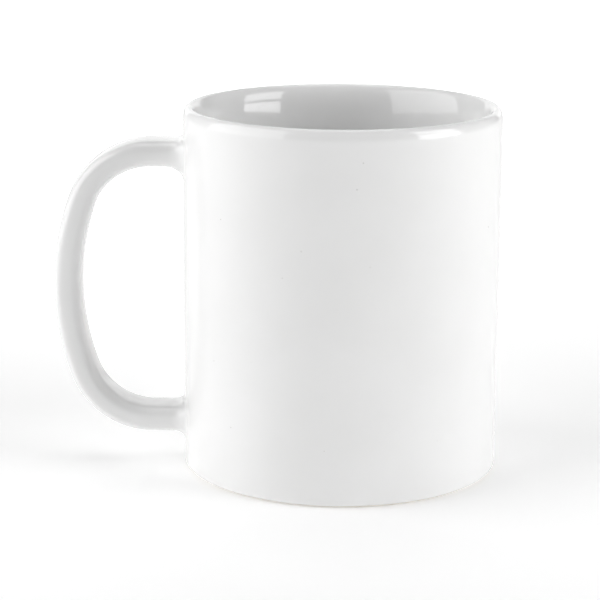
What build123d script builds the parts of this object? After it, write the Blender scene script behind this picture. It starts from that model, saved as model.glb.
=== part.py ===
"""Straight-sided ceramic mug with a strap handle.

A roller-formed clay cup and a cast clay handle are joined by two beads of slip, and one
coat of glaze covers everything but the foot that stands in the kiln. Millimetres, +Z up.
The origin is the centre of the foot on the table, and the handle points along -X.
"""

from build123d import *
import math
import os

# The finished mug, glaze included
mug_diameter = 82.0
mug_height = 95.0
glaze_thickness = 0.3

# Clay cup
wall_at_floor = 4.4
floor_thickness = 5.0
inner_corner_radius = 7.0
base_corner_radius = 1.7

# Lip: two quarter ellipses that meet on top, reach across the wall and drop down it.
# The inner one is long, so the wall thins gently towards the lip.
lip_outer_reach = 1.2
lip_outer_drop = 2.7
lip_inner_reach = 3.0
lip_inner_drop = 15.0

# Foot ring
foot_ring_width = 2.6
recess_depth = 1.8
bare_foot_height = 0.7

# Clay handle, a rounded strap bent in three tangent arcs
handle_width = 12.4
handle_thickness = 6.4
handle_side_flat = 1.0
handle_reach = 33.6
upper_root_below_rim = 12.3
lower_root_height = 12.0
handle_bend_radius = 19.3
handle_grip_radius = 67.0

# Joints between the handle and the cup
slip_thickness = 0.4
slip_bead_radius = 1.2
glaze_fillet_radius = 2.0

# Sizes that follow
cup_radius = mug_diameter / 2 - glaze_thickness
cup_height = mug_height - glaze_thickness
floor_top = recess_depth + floor_thickness
foot_outer_radius = cup_radius - base_corner_radius
foot_inner_radius = foot_outer_radius - foot_ring_width
wall_under_lip = lip_outer_reach + lip_inner_reach
root_radius = cup_radius - wall_under_lip / 2
handle_edge_radius = (handle_thickness - handle_side_flat) / 2

# Sketch plane of the handle: x runs outwards from the mug's axis, y runs up
handle_plane = Plane(origin=(0, 0, 0), x_dir=(-1, 0, 0), z_dir=(0, 1, 0))


def cup_section(coat):
    """Half section of the cup, with every surface moved outwards by the coat."""
    wall_radius = cup_radius + coat
    recess_corner = foot_inner_radius - recess_depth
    base_corner = foot_outer_radius
    lip_radius = cup_radius - lip_outer_reach
    floor_corner = cup_radius - wall_at_floor - inner_corner_radius
    recess_arc = CenterArc((recess_corner, 0), recess_depth - coat, 90, -90)
    base_arc = CenterArc((base_corner, base_corner_radius), base_corner_radius + coat, -90, 90)
    outer_lip = EllipticalCenterArc(
        (lip_radius, cup_height - lip_outer_drop),
        lip_outer_reach + coat,
        lip_outer_drop + coat,
        start_angle=0,
        arc_size=90,
    )
    inner_lip = EllipticalCenterArc(
        (lip_radius, cup_height - lip_inner_drop),
        lip_inner_reach + coat,
        lip_inner_drop + coat,
        start_angle=90,
        arc_size=90,
    )
    floor_arc = CenterArc(
        (floor_corner, floor_top + inner_corner_radius), inner_corner_radius - coat, 0, -90
    )
    outline = [
        Line((0, recess_depth - coat), recess_arc @ 0),
        recess_arc,
        Polyline(recess_arc @ 1, (foot_inner_radius - coat, -coat), base_arc @ 0),
        base_arc,
        Line((wall_radius, base_corner_radius), outer_lip @ 0),
        outer_lip,
        inner_lip,
        Line(inner_lip @ 1, floor_arc @ 0),
        floor_arc,
        Polyline(floor_arc @ 1, (0, floor_top + coat), (0, recess_depth - coat)),
    ]
    return Plane.XZ * make_face(outline)


def handle_path():
    """Centre line of the handle, from inside the wall at the top to inside it at the bottom."""
    top = mug_height - upper_root_below_rim
    bottom = lower_root_height
    middle = (top + bottom) / 2
    furthest = mug_diameter / 2 + handle_reach - handle_thickness / 2
    grip_centre = furthest - handle_grip_radius
    rise = top - handle_bend_radius - middle
    run = math.sqrt((handle_grip_radius - handle_bend_radius) ** 2 - rise**2)
    bend_centre = grip_centre + run
    grip_angle = math.degrees(math.atan2(rise, run))
    upper_bend = CenterArc(
        (bend_centre, top - handle_bend_radius), handle_bend_radius, 90, grip_angle - 90
    )
    grip = CenterArc((grip_centre, middle), handle_grip_radius, grip_angle, -2 * grip_angle)
    lower_bend = CenterArc(
        (bend_centre, bottom + handle_bend_radius),
        handle_bend_radius,
        -grip_angle,
        grip_angle - 90,
    )
    return handle_plane * Wire(
        [
            Line((root_radius, top), upper_bend @ 0),
            upper_bend,
            grip,
            lower_bend,
            Line(lower_bend @ 1, (root_radius, bottom)),
        ]
    )


def column(radius):
    """A round column on the table, as high as the mug."""
    return Cylinder(radius, mug_height, align=(Align.CENTER, Align.CENTER, Align.MIN))


def cup(coat):
    """The cup as a solid of revolution."""
    return revolve(cup_section(coat), Axis.Z)


def handle_bar(coat):
    """The handle's strap along its whole centre line, with both ends inside the wall."""
    path = handle_path()
    section = RectangleRounded(
        handle_thickness + 2 * coat, handle_width + 2 * coat, handle_edge_radius + coat
    )
    start = Plane(origin=path @ 0, x_dir=(0, 0, 1), z_dir=path % 0)
    return sweep(start * section, path) - column(root_radius)


def assembled(coat, fillet_radius):
    """Cup and handle as one shape, with the inside corners at both roots filled."""
    cup_shape = cup(coat)
    bar = handle_bar(coat)
    both = cup_shape + bar
    roots = new_edges(cup_shape, bar, combined=both)
    return fillet(roots, fillet_radius)


def slip_joints(fired_clay, clay_cup, clay_handle):
    """The upper and lower joints: a pad behind each end of the handle, with a bead around it."""
    return (fired_clay - clay_cup - clay_handle).solids().sort_by(Axis.Z, reverse=True)


def glazes(fired_clay):
    """The coat on the mug and the patch inside the foot ring, parted where the foot is wiped."""
    coated = assembled(glaze_thickness, glaze_fillet_radius)
    wiped = Pos(0, 0, bare_foot_height - mug_height) * column(mug_diameter)
    return (coated - fired_clay - wiped).solids().sort_by(Axis.Z, reverse=True)


body = cup(0)
handle = handle_bar(0) - column(cup_radius + slip_thickness)
clay = assembled(0, slip_bead_radius)
upper_slip_joint, lower_slip_joint = slip_joints(clay, body, handle)
glaze, base_glaze = glazes(clay)

nodes = {
    "body": body,
    "handle": handle,
    "upper_slip_joint": upper_slip_joint,
    "lower_slip_joint": lower_slip_joint,
    "glaze": glaze,
    "base_glaze": base_glaze,
}
os.makedirs("parts", exist_ok=True)
for name, shape in nodes.items():
    export_step(shape, f"parts/{name}.step")
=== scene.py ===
"""Looks of the white glazed mug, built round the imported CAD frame.

The glaze is one closed coat over the cup and the handle, thickest in the corners at the
handle's roots. The clay cup shows at the bare foot ring, and a patch of glaze lies inside it.
Lengths are in metres.
"""

import math

import bpy
import numpy as np
from mathutils import Matrix, Vector


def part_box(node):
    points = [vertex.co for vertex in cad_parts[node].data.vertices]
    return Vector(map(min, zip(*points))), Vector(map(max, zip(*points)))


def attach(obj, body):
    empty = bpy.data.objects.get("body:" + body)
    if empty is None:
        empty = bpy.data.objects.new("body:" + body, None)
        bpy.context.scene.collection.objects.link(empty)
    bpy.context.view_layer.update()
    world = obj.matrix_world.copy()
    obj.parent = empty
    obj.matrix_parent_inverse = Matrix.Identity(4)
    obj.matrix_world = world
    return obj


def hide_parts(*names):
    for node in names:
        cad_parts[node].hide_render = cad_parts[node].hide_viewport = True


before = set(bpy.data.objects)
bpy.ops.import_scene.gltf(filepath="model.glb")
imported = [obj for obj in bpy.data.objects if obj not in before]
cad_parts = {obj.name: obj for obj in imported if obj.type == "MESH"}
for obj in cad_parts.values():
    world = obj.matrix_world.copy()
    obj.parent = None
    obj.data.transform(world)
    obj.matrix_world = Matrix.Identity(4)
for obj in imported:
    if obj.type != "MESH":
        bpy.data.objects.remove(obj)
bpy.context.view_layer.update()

MM = 0.001

# ---------------------------------------------------------------- sizes, from the frame
glaze_low, glaze_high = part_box("glaze")
clay_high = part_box("body")[1]
patch_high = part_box("base_glaze")[1]
strap_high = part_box("handle")[1]

mug_radius = glaze_high.x
mug_height = glaze_high.z
coat = mug_radius - clay_high.x
strap_half_width = strap_high.y + coat
strap_half_thickness = 3.5 * MM
grip_line = -glaze_low.x - strap_half_thickness
upper_root = sum(corner.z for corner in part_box("upper_slip_joint")) / 2
lower_root = sum(corner.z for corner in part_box("lower_slip_joint")) / 2

# ---------------------------------------------------------------- sizes of the cup's section
wall_at_floor = 4.4 * MM
floor_top = 6.8 * MM
inner_corner_radius = 7.0 * MM
lip_outer_reach, lip_outer_drop = 1.2 * MM, 2.7 * MM
lip_inner_reach, lip_inner_drop = 3.0 * MM, 15.0 * MM
base_corner_radius = 1.7 * MM
foot_ring_width = 2.6 * MM
foot_edge_radius = 0.25 * MM
recess_depth = patch_high.z

# ---------------------------------------------------------------- edges of the glaze, in degrees
wipe_angle = -25.0
patch_angle = 35.0
edge_sweep = 100.0

clay_radius = mug_radius - coat
clay_height = mug_height - coat
foot_outer_radius = clay_radius - base_corner_radius
foot_inner_radius = foot_outer_radius - foot_ring_width

# ---------------------------------------------------------------- sizes of the handle
bend_radius = 19.3 * MM
grip_radius = 67.0 * MM

# 2 would give the strap an oval section. Under 2.8 the clay handle would reach out of the coat.
strap_squareness = 3.4

# How far the glaze fills each corner between handle and wall: (along the handle, along the wall)
upper_fill = {
    "outer": (2.0 * MM, 1.4 * MM),
    "side": (4.2 * MM, 2.6 * MM),
    "inner": (5.0 * MM, 3.8 * MM),
}
lower_fill = {
    "outer": (2.8 * MM, 2.4 * MM),
    "side": (4.0 * MM, 2.4 * MM),
    "inner": (3.4 * MM, 2.4 * MM),
}

# ---------------------------------------------------------------- mesh spacing
columns = 190
window_columns = 18
window_rows = 14
window_height = 21.0 * MM
upper_window_top = 91.5 * MM
lower_window_bottom = 2.5 * MM
window_steps = 4
wall_row = 1.45 * MM
inside_row = 2.0 * MM
clay_wall_row = 3 * MM
floor_row = 2.2 * MM
foot_row = 0.4 * MM
handle_step = 1.2 * MM
root_steps = 12
lip_outer_steps, lip_inner_steps = 12, 32
inner_corner_steps = 12
clay_corner_steps = 10
coat_corner_steps = 6
patch_corner_steps = 8
edge_steps = 5

# Last ring of each floor, which is closed to one point on the axis
middle_radius = 1.5 * MM

# Points nearer than this are one point
same_point = 1e-7

# ---------------------------------------------------------------- colours
greyer_glaze, whiter_glaze = (0.885, 0.885, 0.882, 1), (0.905, 0.905, 0.903, 1)
# Grey for the pinholes: painted shade in their pits, darker than the clay under the glaze
pinhole_pit_shade = (0.55, 0.54, 0.52, 1)
iron_tone = (0.36, 0.32, 0.27, 1)
light_clay, dark_clay = (0.83, 0.80, 0.75, 1), (0.76, 0.72, 0.66, 1)
light_slip, dark_slip = (0.82, 0.79, 0.74, 1), (0.77, 0.74, 0.69, 1)
grain_tone = (0.42, 0.35, 0.27, 1)

# ---------------------------------------------------------------- stage
# Just under the foot, so that the two don't share a plane
floor_level = -0.02 * MM

# The floor's glow near the mug and far from it, and the distances from the axis where each begins
near_glow, far_glow = 0.24, 0.95
glow_start, glow_end = 0.1, 1.2

# Upright panels: facing, distance, left, right, bottom, top and radiance, as softbox takes them
softboxes = {
    "left_softbox": (-75, 1.0, -108, -42, 0.02, 1.25, 2.5),
    "right_softbox_low": (45, 0.9, 54, 90, 0.02, 0.36, 5.7),
    "right_softbox_high": (45, 0.9, 54, 90, 0.41, 0.80, 4.7),
    "right_card": (110, 1.0, 97, 130, 0.02, 0.90, 0.2),
    "left_back_card": (-135, 1.1, -155, -112, 0.02, 0.90, 0.3),
    "back_card": (180, 2.6, 150, 210, 0.02, 2.20, 1.2),
}
top_light_place = (0, 0.2, 1.6)
top_light_size = 1.2
top_light_radiance = 1.8

camera_lens = 130.1
camera_distance, camera_height = 552.6 * MM, 177.6 * MM

# In radians
camera_pan, camera_tilt, camera_roll = -0.01946, 0.23805, -0.004855


def placed(name, data):
    """A new object in the scene."""
    made = bpy.data.objects.new(name, data)
    bpy.context.scene.collection.objects.link(made)
    return made


class Mesh:
    """Points and faces of one closed skin."""

    def __init__(self):
        self.points = []
        self.faces = []

    def ring(self, points):
        """Adds a ring of points and returns their numbers."""
        first = len(self.points)
        self.points.extend(points)
        return list(range(first, len(self.points)))

    def bridge(self, near, far, skip=()):
        """Quads between two closed rings of as many points, all but the columns in skip."""
        count = len(near)
        for i in range(count):
            if i not in skip:
                j = (i + 1) % count
                self.faces.append((near[i], near[j], far[j], far[i]))

    def bridge_all(self, rings):
        """Quads between each ring and the next."""
        for near, far in zip(rings, rings[1:]):
            self.bridge(near, far)

    def cap(self, ring, point):
        """Closes a ring with triangles to one point."""
        centre = len(self.points)
        self.points.append(point)
        for i, number in enumerate(ring):
            self.faces.append((number, ring[(i + 1) % len(ring)], centre))

    def build(self, name, material):
        """The mesh as a smooth-shaded object in the scene, without the points that no face uses."""
        used = sorted({number for face in self.faces for number in face})
        renumbered = {number: place for place, number in enumerate(used)}
        points = [tuple(self.points[number]) for number in used]
        faces = [[renumbered[number] for number in face] for face in self.faces]
        mesh = bpy.data.meshes.new(name)
        mesh.from_pydata(points, [], faces)
        mesh.polygons.foreach_set("use_smooth", [True] * len(mesh.polygons))
        mesh.materials.append(material)
        return placed(name, mesh)


def arc(centre, radii, start, end, steps):
    """Points along an arc of an ellipse in the (radius, height) plane, in degrees."""
    return [
        (centre[0] + radii[0] * math.cos(a), centre[1] + radii[1] * math.sin(a))
        for a in np.radians(np.linspace(start, end, steps + 1))
    ]


def line(start, end, step):
    """Points along a straight line, both ends included."""
    length = math.dist(start, end)
    count = max(1, round(length / step))
    return [tuple(p) for p in np.linspace(start, end, count + 1)]


def chain(*stretches):
    """One outline of several stretches, with the points where two stretches meet kept once."""
    outline = []
    for stretch in stretches:
        for point in stretch:
            if not outline or math.dist(point, outline[-1]) > same_point:
                outline.append(point)
    return outline


def outer_wall_rows():
    """Heights of the outer wall's rows, with rows at the edges of both windows."""
    lower_top = lower_window_bottom + window_height
    upper_bottom = upper_window_top - window_height
    rows = [base_corner_radius, lower_window_bottom]
    rows += list(np.linspace(lower_window_bottom, lower_top, window_rows + 1)[1:])
    between = round((upper_bottom - lower_top) / wall_row)
    rows += list(np.linspace(lower_top, upper_bottom, between + 1)[1:])
    rows += list(np.linspace(upper_bottom, upper_window_top, window_rows + 1)[1:])
    rows.append(clay_height - lip_outer_drop)
    return rows


def lip(grow):
    """Lip outline from the outer wall over the top to the inner wall."""
    centre = clay_radius - lip_outer_reach
    outside = arc(
        (centre, clay_height - lip_outer_drop),
        (lip_outer_reach + grow, lip_outer_drop + grow),
        0, 90, lip_outer_steps,
    )
    inside = arc(
        (centre, clay_height - lip_inner_drop),
        (lip_inner_reach + grow, lip_inner_drop + grow),
        90, 180, lip_inner_steps,
    )
    return chain(outside, inside)


def inside(grow):
    """Outline of the cup's inside, from under the lip to near the middle of the floor."""
    top = (clay_radius - lip_outer_reach - lip_inner_reach - grow, clay_height - lip_inner_drop)
    corner = (clay_radius - wall_at_floor - inner_corner_radius, floor_top + inner_corner_radius)
    radius = inner_corner_radius - grow
    turn = arc(corner, (radius, radius), 0, -90, inner_corner_steps)
    floor = line(turn[-1], (middle_radius, turn[-1][1]), floor_row)
    return chain(line(top, turn[0], inside_row), turn, floor)


def round_the_axis(row):
    """A ring of points about the mug's axis, from a (radius, height) for each column."""
    angles = math.pi + 2 * math.pi * np.arange(columns) / columns
    return [
        (radius * math.cos(a), radius * math.sin(a), height)
        for (radius, height), a in zip(row, angles)
    ]


def turned(outline):
    """Rings of points about the mug's axis, one ring for each point of an outline."""
    return [round_the_axis([point] * columns) for point in outline]


def offset(mesh, distance):
    """A copy of the mesh's points moved against their normals."""
    points = np.array(mesh.points)
    normals = np.zeros_like(points)
    for face in mesh.faces:
        corners = points[list(face)]
        normal = np.cross(corners[2] - corners[0], corners[-1] - corners[1])
        normals[list(face)] += normal
    lengths = np.linalg.norm(normals, axis=1)[:, None]
    return points - distance * normals / np.maximum(lengths, 1e-12)


def thicken(mesh):
    """Adds the coat's inner skin behind an open skin, and returns how far its numbers are on."""
    count = len(mesh.points)
    inner = offset(mesh, coat)
    inner_faces = [tuple(number + count for number in reversed(face)) for face in mesh.faces]
    mesh.points.extend(tuple(p) for p in inner)
    mesh.faces.extend(inner_faces)
    return count


# ---------------------------------------------------------------- handle
def handle_line():
    """Points, directions and outward normals along the handle's centre line, from wall to wall."""
    middle = (upper_root + lower_root) / 2
    grip_centre = grip_line - grip_radius
    rise = upper_root - bend_radius - middle
    run = math.sqrt((grip_radius - bend_radius) ** 2 - rise**2)
    bend_centre = grip_centre + run
    turn = math.atan2(rise, run)
    stations = []

    def bend(centre, radius, start, end):
        count = max(2, round(radius * abs(start - end) / handle_step))
        for a in np.linspace(start, end, count + 1):
            normal = (math.cos(a), math.sin(a))
            place = (centre[0] + radius * normal[0], centre[1] + radius * normal[1])
            if not stations or math.dist(place, stations[-1][0]) > same_point:
                stations.append((place, normal))

    bend((bend_centre, upper_root - bend_radius), bend_radius, math.pi / 2, turn)
    bend((grip_centre, middle), grip_radius, turn, -turn)
    bend((bend_centre, lower_root + bend_radius), bend_radius, -turn, -math.pi / 2)
    return stations


def window_path():
    """Places of a window's edge points, from -1 to 1 across and up, once round."""
    across = np.linspace(-1, 1, window_columns + 1)
    up = np.linspace(-1, 1, window_rows + 1)
    path = [(x, -1.0) for x in across[:-1]]
    path += [(1.0, z) for z in up[:-1]]
    path += [(x, 1.0) for x in across[:0:-1]]
    path += [(-1.0, z) for z in up[:0:-1]]
    return path


def strap_section():
    """Points and outward normals of the strap's rounded section, one for each window edge point."""
    section = []
    n = strap_squareness
    for across, out in window_path():
        size = (abs(across) ** n + abs(out) ** n) ** (1 / n)
        x, y = across / size, out / size
        normal = Vector(
            (
                math.copysign(abs(x) ** (n - 1), x) / strap_half_width,
                math.copysign(abs(y) ** (n - 1), y) / strap_half_thickness,
            )
        ).normalized()
        section.append(((x * strap_half_width, y * strap_half_thickness), tuple(normal)))
    return section


def fill_at(fill, normal):
    """How far the glaze reaches along the handle and along the wall, for one side of the strap."""
    side = normal[0] ** 2
    face = fill["outer"] if normal[1] > 0 else fill["inner"]
    return tuple(side * s + (1 - side) * f for s, f in zip(fill["side"], face))


def root_rings(height, up, fill, bend_start):
    """Rings from the wall round a root to the start of the handle's bend.

    up is 1 where the strap's outer face looks up, and -1 where it looks down.
    """
    rings = []
    section = strap_section()
    for angle in np.radians(np.linspace(90, 0, root_steps + 1)):
        ring = []
        for (across, out), normal in section:
            reach, rise = fill_at(fill, normal)
            spread = rise * (1 - math.cos(angle))
            y = -(across + spread * normal[0])
            z = height + up * (out + spread * normal[1])
            wall = math.sqrt(mug_radius**2 - y**2)
            ring.append((-(wall + reach * (1 - math.sin(angle))), y, z))
        rings.append(ring)
    last = rings[-1]
    for share in (0.25, 0.5, 0.75, 1.0):
        rings.append([(x + share * (-bend_start - x), y, z) for x, y, z in last])
    return rings


def wall_rings(window, footprint, steps):
    """Rings on the wall between a window's edge and the footprint of a root."""
    edge = [(math.atan2(-y, -x), z) for x, y, z in window]
    foot = [(math.atan2(-y, -x), z) for x, y, z in footprint]
    rings = []
    for k in range(1, steps):
        share = k / steps
        ring = []
        for (a, z), (b, w) in zip(edge, foot):
            angle = a + share * (b - a)
            ring.append(
                (-mug_radius * math.cos(angle), -mug_radius * math.sin(angle), z + share * (w - z))
            )
        rings.append(ring)
    return rings


def window_numbers(wall, bottom_row, up):
    """Numbers of the wall's points round a window, in the order of the strap's section."""
    half = window_columns // 2
    numbers = []
    for across, out in window_path():
        row = bottom_row + round((up * out + 1) / 2 * window_rows)
        numbers.append(wall[row][round(across * half) % columns])
    return numbers


def handle(skin, wall, lower_row, upper_row):
    """Joins the handle to the windows in the wall, as one tube from root to root."""
    stations = handle_line()
    start = stations[0][0][0]
    upper = root_rings(upper_root, 1, upper_fill, start)
    lower = root_rings(lower_root, -1, lower_fill, start)
    tube = []
    for (out, height), normal in stations[1:-1]:
        ring = []
        for (across, away), _ in strap_section():
            ring.append((-(out + away * normal[0]), -across, height + away * normal[1]))
        tube.append(ring)
    upper_window = window_numbers(wall, upper_row, 1)
    lower_window = window_numbers(wall, lower_row, -1)
    upper_edge = [skin.points[n] for n in upper_window]
    lower_edge = [skin.points[n] for n in lower_window]
    rings = wall_rings(upper_edge, upper[0], window_steps) + upper + tube
    rings += lower[::-1] + wall_rings(lower_edge, lower[0], window_steps)[::-1]
    numbers = [skin.ring(ring) for ring in rings]
    skin.bridge_all([upper_window] + numbers + [lower_window])


# ---------------------------------------------------------------- pieces
def wipe_line(column):
    """Angle on the base corner where the glaze was wiped off, which wavers round the foot."""
    turn = 2 * math.pi * column / columns
    slow = 2.6 * math.sin(3 * turn + 1.0)
    quick = 1.4 * math.sin(8 * turn)
    fine = 0.7 * math.sin(19 * turn)
    return wipe_angle + slow + quick + fine


def wiped_edge():
    """Rings of the glaze's rounded lower edge, and of the skin from there to the wall."""
    corner = (foot_outer_radius, base_corner_radius)
    radius = base_corner_radius
    edges, skins = [], []
    for column in range(columns):
        start = wipe_line(column)
        seat = arc(corner, (radius, radius), start, start, 0)[0]
        edges.append(arc(seat, (coat, coat), start - edge_sweep, start, edge_steps)[:-1])
        skins.append(arc(corner, (radius + coat, radius + coat), start, 0, coat_corner_steps)[:-1])
    edge = [round_the_axis(row) for row in zip(*edges)]
    skin = [round_the_axis(row) for row in zip(*skins)]
    return edge, skin


def make_glaze(material):
    """The coat over the outside, the lip, the inside and the handle."""
    skin = Mesh()
    edge, base = wiped_edge()
    heights = outer_wall_rows()
    lower_row = len(base) + heights.index(lower_window_bottom)
    upper_row = len(base) + heights.index(upper_window_top) - window_rows
    outline = chain([(mug_radius, height) for height in heights], lip(coat), inside(coat))
    windows = set(range(lower_row, lower_row + window_rows))
    windows |= set(range(upper_row, upper_row + window_rows))
    half = window_columns // 2
    hole = set(range(half)) | set(range(columns - half, columns))
    rings = [skin.ring(points) for points in base + turned(outline)]
    for row in range(len(rings) - 1):
        skin.bridge(rings[row], rings[row + 1], skip=hole if row in windows else ())
    skin.cap(rings[-1], (0.0, 0.0, outline[-1][1]))
    handle(skin, rings, lower_row, upper_row)
    to_inner = thicken(skin)
    edge_rings = [skin.ring(points) for points in edge]
    seat = [number + to_inner for number in rings[0]]
    skin.bridge_all([seat] + edge_rings + [rings[0]])
    return skin.build("glaze_coat", material)


def make_clay_cup(material):
    """The clay cup under the glaze, which shows at the foot ring."""
    cup = Mesh()
    recess = (foot_inner_radius - recess_depth, 0.0)
    ease_angle = math.degrees(math.asin(foot_edge_radius / recess_depth))
    under = line((middle_radius, recess_depth), (recess[0], recess_depth), floor_row)
    bowl = arc(recess, (recess_depth, recess_depth), 90, ease_angle, clay_corner_steps)
    ease = arc(
        (foot_inner_radius + foot_edge_radius, foot_edge_radius),
        (foot_edge_radius, foot_edge_radius),
        180, 270, edge_steps,
    )
    foot = line(ease[-1], (foot_outer_radius, 0.0), foot_row)
    corner = (foot_outer_radius, base_corner_radius)
    base = arc(corner, (base_corner_radius, base_corner_radius), -90, 0, clay_corner_steps)
    wall = line(base[-1], (clay_radius, clay_height - lip_outer_drop), clay_wall_row)
    outline = chain(under, bowl, ease, foot, base, wall, lip(0), inside(0))
    rings = [cup.ring(points) for points in turned(outline)]
    cup.bridge_all(rings)
    cup.cap(rings[-1], (0.0, 0.0, floor_top))
    cup.cap(rings[0][::-1], (0.0, 0.0, recess_depth))
    return cup.build("clay_cup", material)


def make_base_glaze(material):
    """The patch of glaze inside the foot ring."""
    patch = Mesh()
    corner = (foot_inner_radius - recess_depth, 0.0)
    radius = recess_depth - coat
    seat = arc(corner, (recess_depth, recess_depth), patch_angle, patch_angle, 0)[0]
    ceiling = line((middle_radius, radius), (corner[0], radius), floor_row)
    turn = arc(corner, (radius, radius), 90, patch_angle, patch_corner_steps)
    back = patch_angle + 180
    edge = arc(seat, (coat, coat), back, back + edge_sweep, edge_steps)[1:]
    rings = [patch.ring(points) for points in turned(chain(ceiling, turn))]
    patch.bridge_all(rings)
    patch.cap(rings[0][::-1], (0.0, 0.0, radius))
    to_inner = thicken(patch)
    edge_rings = [patch.ring(points) for points in turned(edge)]
    inner = [number + to_inner for number in rings[-1]]
    patch.bridge_all([rings[-1]] + edge_rings + [inner])
    return patch.build("base_glaze_patch", material)


# ---------------------------------------------------------------- materials
def new_material(name):
    """A new material, with its node tree and its shader."""
    material = bpy.data.materials.new(name)
    material.use_nodes = True
    tree = material.node_tree
    return material, tree, tree.nodes["Principled BSDF"]


def add(tree, kind, inputs, **settings):
    """A new node, with its settings, and with a value or a link for each named input."""
    node = tree.nodes.new(kind)
    for name, value in settings.items():
        setattr(node, name, value)
    for name, value in inputs.items():
        if isinstance(value, bpy.types.NodeSocket):
            tree.links.new(value, node.inputs[name])
        else:
            node.inputs[name].default_value = value
    return node


def noise(tree, place, size, detail):
    """Soft noise whose lumps are about a given size in metres."""
    node = add(tree, "ShaderNodeTexNoise", {"Vector": place, "Scale": 1 / size, "Detail": detail})
    return node.outputs["Fac"]


def ramp(tree, value, low, high, start, end):
    """Maps a value from one span to another, clamped at both ends."""
    node = add(
        tree,
        "ShaderNodeMapRange",
        {"Value": value, "From Min": low, "From Max": high, "To Min": start, "To Max": end},
    )
    return node.outputs["Result"]


def blend(tree, share, first, second):
    """A colour between two colours, each a socket or a plain tuple.

    The node's colour sockets have the same names as its other ones, so they go by number.
    """
    node = add(tree, "ShaderNodeMix", {}, data_type="RGBA")
    sockets = (node.inputs[0], node.inputs[6], node.inputs[7])
    for socket, value in zip(sockets, (share, first, second)):
        if isinstance(value, bpy.types.NodeSocket):
            tree.links.new(value, socket)
        else:
            socket.default_value = value
    return node.outputs[2]


def bump(tree, height, depth, below=None):
    """A bump of a given depth in metres, on top of the bump below."""
    inputs = {"Height": height, "Distance": depth, "Strength": 1.0}
    if below is not None:
        inputs["Normal"] = below
    return add(tree, "ShaderNodeBump", inputs).outputs["Normal"]


def specks(tree, place, spacing, radius):
    """1 inside sparse round specks and 0 outside, for specks up to a given radius in metres."""
    cells = add(tree, "ShaderNodeTexVoronoi", {"Vector": place, "Scale": 1 / spacing})
    return ramp(tree, cells.outputs["Distance"], 0.55 * radius / spacing, radius / spacing, 1.0, 0.0)


def glaze_look():
    """Glossy white glaze: a faint ripple, an orange peel, a few pinholes with painted shade in their
    pits, and darker specks.
    """
    material, tree, shader = new_material("white_glaze")
    place = add(tree, "ShaderNodeTexCoord", {}).outputs["Object"]
    cloud = ramp(tree, noise(tree, place, 22 * MM, 3.0), 0.35, 0.65, 0.0, 1.0)
    tone = blend(tree, cloud, greyer_glaze, whiter_glaze)
    pinhole_pits_and_shade = specks(tree, place, 9.0 * MM, 0.24 * MM)
    shifted = add(tree, "ShaderNodeMapping", {"Vector": place, "Location": (0.31, 0.17, 0.05)})
    iron = specks(tree, shifted.outputs["Vector"], 8.0 * MM, 0.16 * MM)
    # Darkens the pinholes' colour, which is painted shade in the pits, on top of their real bump
    # below
    tone = blend(tree, ramp(tree, pinhole_pits_and_shade, 0.0, 1.0, 0.0, 0.45), tone, pinhole_pit_shade)
    tone = blend(tree, ramp(tree, iron, 0.0, 1.0, 0.0, 0.7), tone, iron_tone)
    tree.links.new(tone, shader.inputs["Base Color"])
    gloss = ramp(tree, noise(tree, place, 6 * MM, 4.0), 0.3, 0.7, 0.055, 0.10)
    tree.links.new(gloss, shader.inputs["Roughness"])
    shader.inputs["IOR"].default_value = 1.52
    surface = bump(tree, noise(tree, place, 26 * MM, 1.0), 0.05 * MM)
    surface = bump(tree, noise(tree, place, 3.2 * MM, 2.0), 0.004 * MM, surface)
    surface = bump(tree, ramp(tree, pinhole_pits_and_shade, 0.0, 1.0, 1.0, 0.0), 0.12 * MM, surface)
    tree.links.new(surface, shader.inputs["Normal"])
    return material


def clay_look(name, light, dark):
    """Matt fired clay: fine grain, a little mottling and small darker grains."""
    material, tree, shader = new_material(name)
    place = add(tree, "ShaderNodeTexCoord", {}).outputs["Object"]
    mottle = ramp(tree, noise(tree, place, 3.0 * MM, 5.0), 0.35, 0.65, 0.0, 1.0)
    tone = blend(tree, mottle, dark, light)
    grains = specks(tree, place, 1.1 * MM, 0.13 * MM)
    tone = blend(tree, ramp(tree, grains, 0.0, 1.0, 0.0, 0.5), tone, grain_tone)
    tree.links.new(tone, shader.inputs["Base Color"])
    tree.links.new(ramp(tree, mottle, 0.0, 1.0, 0.92, 0.78), shader.inputs["Roughness"])
    shader.inputs["Specular IOR Level"].default_value = 0.35
    surface = bump(tree, noise(tree, place, 1.2 * MM, 3.0), 0.03 * MM)
    surface = bump(tree, noise(tree, place, 0.25 * MM, 3.0), 0.02 * MM, surface)
    tree.links.new(surface, shader.inputs["Normal"])
    return material


# ---------------------------------------------------------------- floor, light and camera
def seen(tree, lighting, showing):
    """One strength for lighting the mug, and another for what the camera sees directly."""
    camera_ray = add(tree, "ShaderNodeLightPath", {}).outputs["Is Camera Ray"]
    return ramp(tree, camera_ray, 0.0, 1.0, lighting, showing)


def make_floor():
    """A plain white table top with a faint glow, which the camera sees whiter far from the mug."""
    mesh = bpy.data.meshes.new("floor")
    half, near, far = 5.0, -3.0, 9.0
    corners = [(-half, near), (half, near), (half, far), (-half, far)]
    mesh.from_pydata([(x, y, floor_level) for x, y in corners], [], [(0, 1, 2, 3)])
    floor = placed("floor", mesh)
    material, tree, shader = new_material("floor")
    shader.inputs["Base Color"].default_value = (0.9, 0.9, 0.9, 1)
    shader.inputs["Roughness"].default_value = 0.9
    shader.inputs["Specular IOR Level"].default_value = 0.0
    shader.inputs["Emission Color"].default_value = (1, 1, 1, 1)
    place = add(tree, "ShaderNodeTexCoord", {}).outputs["Object"]
    length = add(tree, "ShaderNodeVectorMath", {"Vector": place}, operation="LENGTH")
    glow = ramp(tree, length.outputs["Value"], glow_start, glow_end, near_glow, far_glow)
    tree.links.new(seen(tree, near_glow, glow), shader.inputs["Emission Strength"])
    mesh.materials.append(material)


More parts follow.
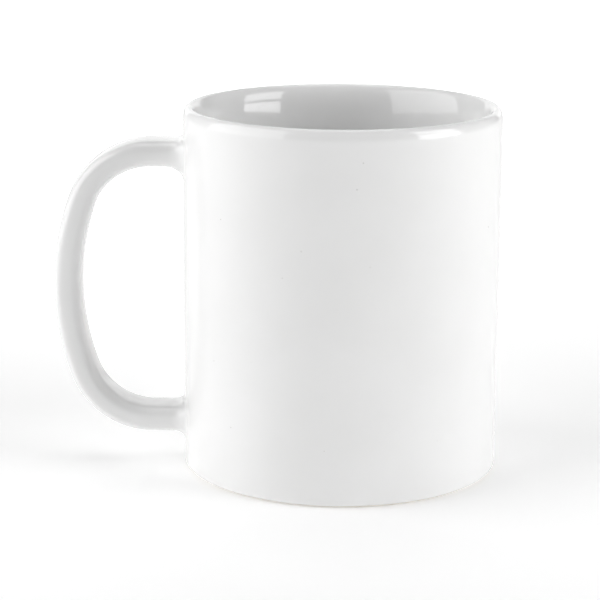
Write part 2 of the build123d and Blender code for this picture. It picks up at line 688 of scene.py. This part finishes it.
def light_panel(name, width, height, radiance):
    """A rectangle of light at the origin, which faces down."""
    light = bpy.data.lights.new(name, "AREA")
    light.shape = "RECTANGLE"
    light.size = width
    light.size_y = height
    light.energy = radiance * math.pi * light.size * light.size_y
    return placed(name, light)


def softbox(name, facing, distance, left, right, bottom, top, radiance):
    """An upright panel of light that faces the mug.

    Its plane lies at a distance from the mug's axis, in the direction of an azimuth, and it spans
    from one azimuth to another. Azimuths are in degrees, 0 towards the camera and 90 towards +X.
    """
    turn = math.radians(facing)
    outwards = Vector((math.sin(turn), -math.cos(turn), 0))
    sideways = Vector((math.cos(turn), math.sin(turn), 0))
    start = distance * math.tan(math.radians(left - facing))
    end = distance * math.tan(math.radians(right - facing))
    lamp = light_panel(name, end - start, top - bottom, radiance)
    lamp.location = distance * outwards + (start + end) / 2 * sideways
    lamp.location.z = (bottom + top) / 2
    lamp.rotation_euler = (-outwards).to_track_quat("-Z", "Y").to_euler()


def make_top_light():
    """A level panel over the mug, a little behind it."""
    lamp = light_panel("top_light", top_light_size, top_light_size, top_light_radiance)
    lamp.location = top_light_place


def make_camera():
    """The camera at the photograph's viewing angle."""
    camera = placed("camera", bpy.data.cameras.new("camera"))
    camera.data.lens = camera_lens
    camera.data.clip_end = 50
    turned_down = Matrix.Rotation(math.pi / 2 - camera_tilt, 4, "X")
    level = Matrix.Rotation(-camera_pan, 4, "Z") @ turned_down
    place = Matrix.Translation((0, -camera_distance, camera_height))
    camera.matrix_world = place @ level @ Matrix.Rotation(-camera_roll, 4, "Z")
    bpy.context.scene.camera = camera


def make_world():
    """A white backdrop that gives no light of its own."""
    world = bpy.data.worlds.new("studio")
    world.use_nodes = True
    tree = world.node_tree
    backdrop = tree.nodes["Background"]
    backdrop.inputs["Color"].default_value = (1, 1, 1, 1)
    tree.links.new(seen(tree, 0.0, 1.0), backdrop.inputs["Strength"])
    bpy.context.scene.world = world


# ---------------------------------------------------------------- making
glaze = glaze_look()
bare_clay = clay_look("bare_clay", light_clay, dark_clay)
slip = clay_look("slip", light_slip, dark_slip)

glaze_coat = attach(make_glaze(glaze), "root")
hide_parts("glaze")

clay_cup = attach(make_clay_cup(bare_clay), "root")
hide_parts("body")

base_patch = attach(make_base_glaze(glaze), "root")
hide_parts("base_glaze")

for node, look in (("handle", bare_clay), ("upper_slip_joint", slip), ("lower_slip_joint", slip)):
    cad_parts[node].data.materials.clear()
    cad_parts[node].data.materials.append(look)

make_floor()
for name, panel in softboxes.items():
    softbox(name, *panel)
make_top_light()
make_camera()
make_world()
bpy.context.scene.view_settings.view_transform = "Standard"
